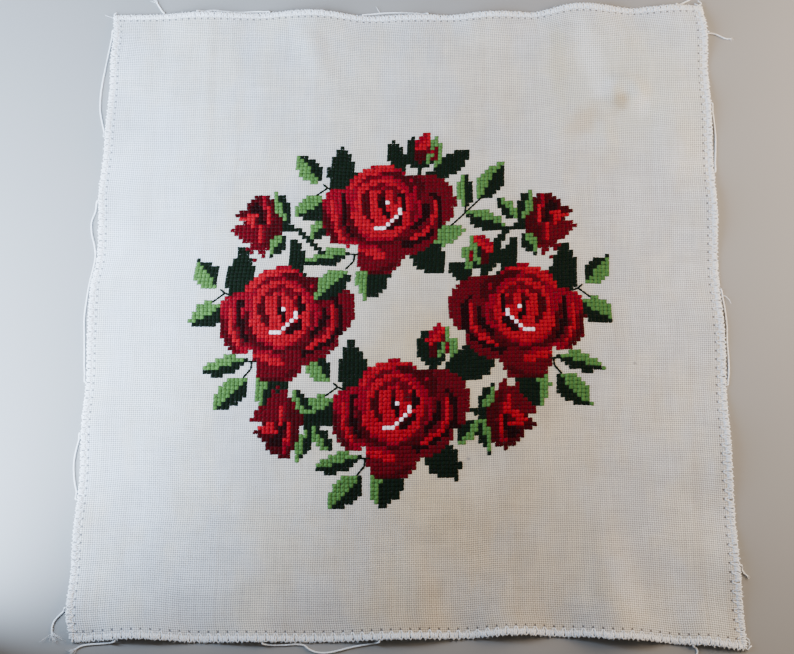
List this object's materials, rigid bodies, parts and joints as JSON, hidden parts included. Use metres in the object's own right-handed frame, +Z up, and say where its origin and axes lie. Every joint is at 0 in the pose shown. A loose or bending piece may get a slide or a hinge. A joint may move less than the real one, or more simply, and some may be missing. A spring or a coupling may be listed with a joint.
{
  "type": "embroidered panel",
  "caption": "Nearly square cloth panel embroidered with a wreath of roses and leaves in cross stitch, its raw edges overcast, with loose loops of thread along them.",
  "frame": {"origin": "middle of the cloth, on its flat underside", "axes": "+X along the width, +Y along the length away from the near edge, +Z up out of the embroidered face"},
  "size_m": [0.3332, 0.3418, 0.0061],
  "materials": {
    "cloth": "matt off-white evenweave",
    "edge_thread": "white sewing thread",
    "floss_red": "stranded red floss with a soft sheen",
    "floss_dark_red": "stranded dark red floss with a soft sheen",
    "floss_green": "stranded green floss with a soft sheen",
    "floss_dark_green": "stranded dark green floss with a soft sheen",
    "floss_white": "stranded white floss with a soft sheen"
  },
  "bodies": {
    "root": {"ground_cloth": "cloth", "thread_loop_top_left": "edge_thread", "thread_loop_top_middle": "edge_thread", "thread_loop_left_far": "edge_thread", "thread_loop_left_middle": "edge_thread", "thread_loop_left_near": "edge_thread", "thread_loop_right_far": "edge_thread", "thread_loop_right_middle": "edge_thread", "thread_loop_bottom": "edge_thread", "thread_tail_top_left": "edge_thread", "thread_tail_top_right": "edge_thread", "thread_tail_right_far": "edge_thread", "thread_tail_right_near": "edge_thread", "thread_tail_bottom_right": "edge_thread", "thread_tail_bottom_left": "edge_thread", "thread_tail_left_near": "edge_thread"}
  },
  "joints": []
}
